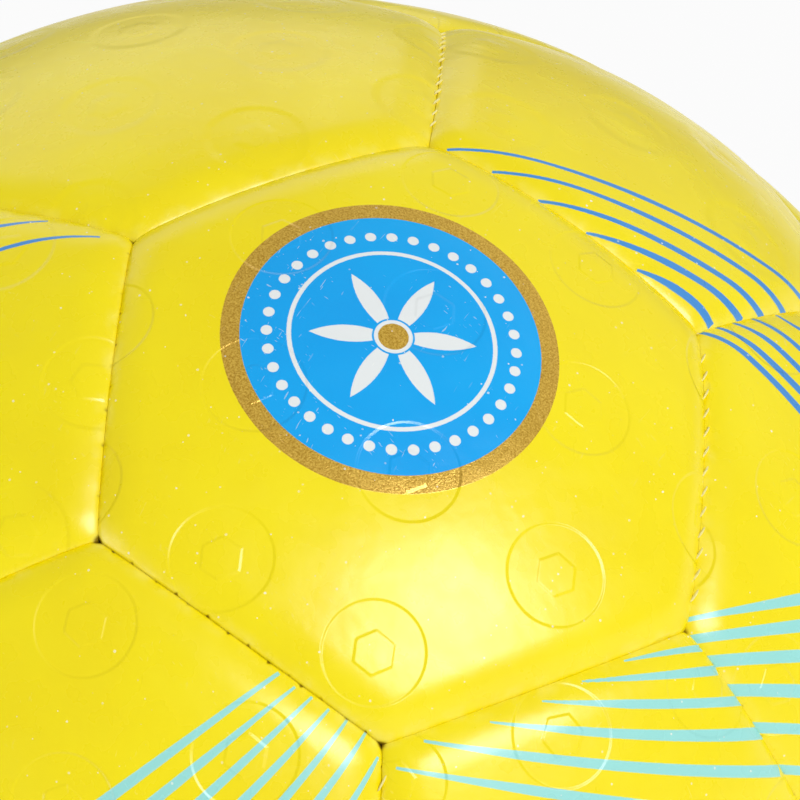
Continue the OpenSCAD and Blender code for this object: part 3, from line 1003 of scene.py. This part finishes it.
cell_edges = voronoi(where, CELLS_PER_MM, feature="DISTANCE_TO_EDGE")
creases = noise(stretched(where, CREASES_SCALE, CREASES_TURNS), CREASES_PER_MM, detail=1.0)
height = grain * GRAIN_RISE
height += ramp(cell_edges, 0.0, CELL_WALL) * CELLS_RISE
height += noise(where, DENTS_PER_MM) * DENTS_RISE
height += creases * CREASES_RISE
height += ramp(read(tree, "ring_mm"), RIM_HALF, -RIM_HALF) * -DISH_DEPTH
height += ramp(read(tree, "mark_mm"), MARK_HALF, -MARK_HALF) * MARK_RISE
height += foil * bare_gold * FOIL_RISE
gloss = ramp(noise(where, GLOSS_PER_MM, detail=3.0), *CLOUDY, LEAST_ROUGH, MOST_ROUGH)
gloss += scratch * SCRATCH_ROUGH
gloss += math_node("MAXIMUM", disc, bare_gold) * INK_ROUGH
finish_graph(tree, 1.0, height, Base_Color=colour, Roughness=gloss,
             Metallic=bare_gold * GOLD_METAL_SHARE, Specular_IOR_Level=COVER_SPECULAR)
print("cover graph:", len(tree.nodes), "nodes")

# %% [markdown]
# ## Sewing the thirty-two panels
# The panels that face the camera carry the fine print and get the finest grids. The others have the same
# shape and finish on wider grids, so the whole ball stays light enough to share.

# %% Build every panel
fine_steps = {"hex_panel_03": 96, "hex_panel_01": 80, "hex_panel_06": 80, "hex_panel_07": 80,
              "pent_panel_02": 80, "pent_panel_05": 80, "pent_panel_01": 72}
USUAL_STEPS = 40
LATTICE_SEED, LATTICE_STRAY = 100, 8.0
# stored on the walls and the inner face, so that no ink or ring shows there
UNDER_SKIN = 2000.0


def lattice_for(panel):
    """The ring lattice as seen in the photograph, or at a turn of its own where the panel isn't seen."""
    own = np.random.default_rng(LATTICE_SEED + panel)
    chance = (own.uniform(0, 360), *own.uniform(-LATTICE_STRAY, LATTICE_STRAY, 2))
    return seen_lattices.get(panel_names[panel], chance)


def make_panel(panel):
    """Builds one cover panel, stores what its material reads, and puts it in the place of its CAD node."""
    name, sides, axes = panel_names[panel], int(sides_of[panel]), panel_axes[panel]
    steps, hole = fine_steps.get(name, USUAL_STEPS), None
    if panel == VALVE_PANEL:
        flat, faces, outline, hole = ring_grid(sides, steps)
    else:
        flat, faces, outline = panel_grid(sides, steps)
    d = direction_on(flat)
    world = d @ axes
    walked = unrolled(d)
    radius, seam_mm, dark = skin_radius(d, sides, gape_of_sides(panel))
    radius = radius - slow_waves(world)
    ring_mm, mark_mm = (press_share.get(name, 1.0) * v for v in embossing(walked, lattice_for(panel)))
    if hole is not None:
        lip = np.clip(HOLE_LIP_R - (np.linalg.norm(walked, axis=1) - VALVE_HOLE_R), 0, HOLE_LIP_R)
        radius = radius - (HOLE_LIP_R - np.sqrt(HOLE_LIP_R ** 2 - lip ** 2))
    points, quads, triangles = closed_panel(sides, flat, faces, outline, radius, hole)
    piece = fill_mesh("cover_" + name, points @ axes, quads, triangles)
    stored = dict(seam_mm=seam_mm, dark=dark, ring_mm=ring_mm, mark_mm=mark_mm)
    stored["badge_x"], stored["badge_y"] = badge_places(world, panel)
    for colour, prints in (("blue", blue_lines), ("mint", mint_stripes)):
        names = (colour + "_rank", colour + "_share", colour + "_end")
        stored.update(zip(names, printed(world, panel, prints)))
    beyond = len(points) - len(flat)
    for key, values in stored.items():
        under = 0.0 if key in ("seam_mm", "dark") else UNDER_SKIN
        keep_attribute(piece, key, np.append(values, np.full(beyond, under)))
    piece.data.materials.append(cover)
    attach(piece, "root")
    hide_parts(name)
    return 2 * len(quads) + len(triangles)


panel_triangles = [make_panel(p) for p in range(len(middles))]
print("triangles in the cover:", sum(panel_triangles), "most in one panel:", max(panel_triangles))

# %% [markdown]
# ## The thread
# The panels are sewn inside out, so from outside the thread only shows at the bottom of the seams, as short
# pale bridges from a hole in one panel to a hole in the next. Each bridge is a small tube along a sagging
# line. In most seams it lies so deep that it is all but hidden, and in a slack one about as high as the
# edges that it joins.

# %% Bridges of thread across the seams
THREAD_R, BRIDGE_HALF = 0.26, 0.42
BRIDGE_RINGS, BRIDGE_SIDES = 6, 6
SNUG, SLACK = (2.35, 2.6), (1.42, 1.52)
slack_seams = {("hex_panel_03", "hex_panel_07"), ("hex_panel_06", "pent_panel_05"),
               ("hex_panel_01", "pent_panel_02")}
SLACK_SHARE = 0.2
LIES_STRAY, SAG, SLANT_SHARE = 0.12, 0.15, 0.16
TAPER_SHARE, TAPER_POWER, LEAST_THIN_SHARE = 0.98, 6, 0.02


def seams():
    """Every seam once: the directions of its middle, of its length and from the one panel to the other."""
    found, slack = [], []
    for p in range(len(middles)):
        for q in range(p + 1, len(middles)):
            if angle_between(middles[p], middles[q]) < NEAR_APOTHEMS * APOTHEM[6]:
                lean = APOTHEM[int(sides_of[p])]
                across = unit(middles[q] - middles[p] * (middles[p] @ middles[q]))
                middle = np.cos(lean) * middles[p] + np.sin(lean) * across
                over = unit(across - middle * (across @ middle))
                found.append((middle, np.cross(middle, over), over))
                pair = (panel_names[p], panel_names[q])
                chance = random.random() < SLACK_SHARE
                slack.append(pair in slack_seams or (chance and pair not in seen_gape_shares))
    return np.array(found), np.array(slack)


def bridges(seam_axes, slack):
    """Tubes r(s, a) = centre(s) + THREAD_R (cos a n + sin a b), for all stitches of all seams at once."""
    middle, along, over = (seam_axes[:, i][:, None, None] for i in range(3))
    stitch = (np.arange(2 * STITCHES - 1) - (STITCHES - 1)) * STITCH_PITCH / 2 / BALL_R
    stitch = stitch[None, :, None] + np.zeros((len(seam_axes), 1, 1))
    lies = np.where(slack, random.uniform(*SLACK, len(slack)), random.uniform(*SNUG, len(slack)))
    depth = lies[:, None, None] + random.uniform(-LIES_STRAY, LIES_STRAY, stitch.shape)
    s = np.linspace(-1, 1, BRIDGE_RINGS)[None, None, :]
    turn = stitch + STITCH_PITCH * SLANT_SHARE / BALL_R * s
    radial = np.cos(turn)[..., None] * middle + np.sin(turn)[..., None] * along
    waves = slow_waves(radial.reshape(-1, 3)).reshape(turn.shape)
    height = BALL_R - waves - depth - SAG * s ** 2
    centre = radial * height[..., None] + BRIDGE_HALF * s[..., None] * over
    a = np.linspace(0, 2 * np.pi, BRIDGE_SIDES, endpoint=False)
    thin = THREAD_R * np.sqrt(np.maximum(1 - (s * TAPER_SHARE) ** TAPER_POWER, LEAST_THIN_SHARE))
    forward = np.cross(middle, over)
    ring = np.cos(a)[:, None] * radial[..., None, :] + np.sin(a)[:, None] * forward[..., None, :]
    return centre[..., None, :] + thin[..., None, None] * ring


tubes = bridges(*seams())
count, rows, columns = tubes.shape[0] * tubes.shape[1], tubes.shape[2], tubes.shape[3]
number = np.arange(rows * columns).reshape(rows, columns)
tube_quads = quads_of(np.concatenate([number, number[:, :1]], 1))
caps = np.array([[0, i, i + 1] for i in range(1, columns - 1)])
caps = np.vstack([caps, caps[:, ::-1] + number[-1, 0]])
starts = (np.arange(count) * rows * columns)[:, None, None]
stitches = fill_mesh("seam_stitches", tubes.reshape(-1, 3),
                     (tube_quads + starts).reshape(-1, 4), (caps + starts).reshape(-1, 3))
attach(stitches, "root")
print("seams", len(tubes), "bridges", count)

# %% [markdown]
# ## Thread, foam, cloth, latex and rubber
# Under the cover the CAD nodes keep their shapes and only get their finish, each from a small graph of its
# own: fine fibres for the thread, open cells for the foam, a plain weave for the lining, cloudy amber for
# the latex, and a dull moulded black for the valve.

# %% Inner materials
INNER_CLOUD_PER_MM, BLENDED, WEAVE_DISTORTION = 0.06, (0.2, 0.8), 0.6
ROUGH_STRAY, INNER_SPECULAR = 0.05, 0.4
# name: nodes, light and dark colour, pattern, cells per mm, roughness, bump in mm, sheen
finishes = {
    "waxed_thread": (("thread_hex_hex", "thread_hex_pent"), paint(254, 247, 184), paint(244, 230, 128),
                     "noise", 5.0, 0.6, 0.05, 0.2),
    "foam": (("hex_foam_pads", "pent_foam_pads"), paint(222, 224, 228), paint(190, 193, 198),
             "cells", 1.6, 0.9, 0.2, 0.0),
    "woven_lining": (("hex_linings", "pent_linings"), paint(238, 235, 222), paint(203, 198, 182),
                     "weave", 0.4, 0.85, 0.1, 0.3),
    "latex": (("bladder", "valve_patch"), paint(214, 178, 120), paint(190, 150, 92),
              "noise", 0.5, 0.45, 0.03, 0.0),
    "valve_rubber": (("valve_sleeve", "valve_core"), paint(34, 34, 36), paint(20, 20, 22),
                     "noise", 3.0, 0.55, 0.02, 0.0),
}


def pattern_of(tree, where, pattern, per_mm):
    """The fine pattern of a finish: open cells, a weave of two crossing waves, or plain noise."""
    if pattern == "cells":
        return voronoi(where, per_mm)
    if pattern == "noise":
        return noise(where, per_mm, detail=3.0)
    warp, weft = (put(tree, "ShaderNodeTexWave", {"bands_direction": axis}, Vector=where,
                      Scale=per_mm / MM, Distortion=WEAVE_DISTORTION).outputs["Fac"] for axis in ("X", "Z"))
    return math_node("MAXIMUM", Number(warp), Number(weft))


def finished(name, light, deep, pattern, per_mm, rough, bump_mm, sheen):
    """A material of two close colours mixed by a pattern, with bump from the same pattern."""
    material, tree = new_material(name)
    where = object_points(tree)
    fine = pattern_of(tree, where, pattern, per_mm)
    cloudy = noise(where, INNER_CLOUD_PER_MM, detail=3.0)
    colour = mixed(ramp(fine * 0.5 + cloudy * 0.5, *BLENDED), deep, light)
    roughness = ramp(cloudy, *CLOUDY, rough - ROUGH_STRAY, rough + ROUGH_STRAY)
    finish_graph(tree, bump_mm, fine, Base_Color=colour, Roughness=roughness, Sheen_Weight=sheen,
                 Specular_IOR_Level=INNER_SPECULAR)
    return material


for name, (nodes, *finish) in finishes.items():
    material = finished(name, *finish)
    for node in nodes:
        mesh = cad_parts[node].data
        mesh.materials.clear()
        mesh.materials.append(material)
stitches.data.materials.append(bpy.data.materials["waxed_thread"])
print("materials:", sorted(m.name for m in bpy.data.materials if m.users))

# %% [markdown]
# ## The floor
# The ball lies on a pale floor that looks white and still takes the ball's shadow: the floor's own light is
# mixed in only for rays that come straight from the camera or from a reflection.

# %% Floor
FLOOR_HALF = 3.0
FLOOR_GREY = 0.85
FLOOR_LIFT_SHARE = 0.92


def flat_plane(name, half, z):
    """A square of four corners at height z, in metres."""
    corners = np.array([[-half, -half, z], [half, -half, z], [half, half, z], [-half, half, z]]) / MM
    return fill_mesh(name, corners, np.array([[0, 1, 2, 3]]))


floor = flat_plane("floor", FLOOR_HALF, -BALL_R * MM)
pale, tree = new_material("pale_floor")
rays = put(tree, "ShaderNodeLightPath").outputs
direct, mirrored, passed = (Number(rays["Is " + k + " Ray"]) for k in ("Camera", "Glossy", "Transmission"))
seen = math_node("MAXIMUM", direct, math_node("MAXIMUM", mirrored, passed))
diffuse = put(tree, "ShaderNodeBsdfDiffuse", None, Color=(FLOOR_GREY, FLOOR_GREY, FLOOR_GREY, 1.0))
glow = put(tree, "ShaderNodeEmission", None, Color=(1.0, 1.0, 1.0, 1.0), Strength=1.0)
blended = put(tree, "ShaderNodeMixShader", None,
              n0=seen * FLOOR_LIFT_SHARE, n1=diffuse.outputs[0], n2=glow.outputs[0])
put(tree, "ShaderNodeOutputMaterial", None, Surface=blended.outputs[0])
floor.data.materials.append(pale)
print("floor at", round(-float(BALL_R), 2), "mm")

# %% [markdown]
# ## The light
# A soft box in front and to the right gives the highlight. A wide fill comes from the left, two large dim
# panels stand behind, and an even room lifts the shadows. A lamp's energy grows with the square of its
# distance, so its share says how bright it is on the ball, wherever it stands.

# %% Lamps and room
ROOM_LIGHT = 0.31
# azimuth and elevation in degrees, distance, width and height in metres, and the share of full light
lamps = {"softbox": (-19, 34, 1.5, 0.70, 0.56, 0.58), "back_panel": (140, 38, 2.2, 2.4, 1.6, 0.19),
         "right_panel": (75, 35, 2.2, 2.4, 1.6, 0.07), "left_fill": (-125, 8, 2.2, 1.4, 1.0, 0.24)}

for name, (azimuth, elevation, distance, width, tall, share) in lamps.items():
    outward = towards(azimuth, elevation)
    data = bpy.data.lights.new(name, "AREA")
    data.shape = "RECTANGLE"
    data.size, data.size_y = width, tall
    data.energy = share * (np.pi * distance) ** 2
    place(bpy.data.objects.new(name, data), facing(outward), outward * distance)

world = bpy.data.worlds.new("room")
world.use_nodes = True
room = world.node_tree.nodes["Background"].inputs
room["Color"].default_value = (1.0, 1.0, 1.0, 1.0)
room["Strength"].default_value = ROOM_LIGHT
bpy.context.scene.world = world
bpy.context.scene.view_settings.view_transform = "Standard"
print("lamps", list(lamps), "room", ROOM_LIGHT)
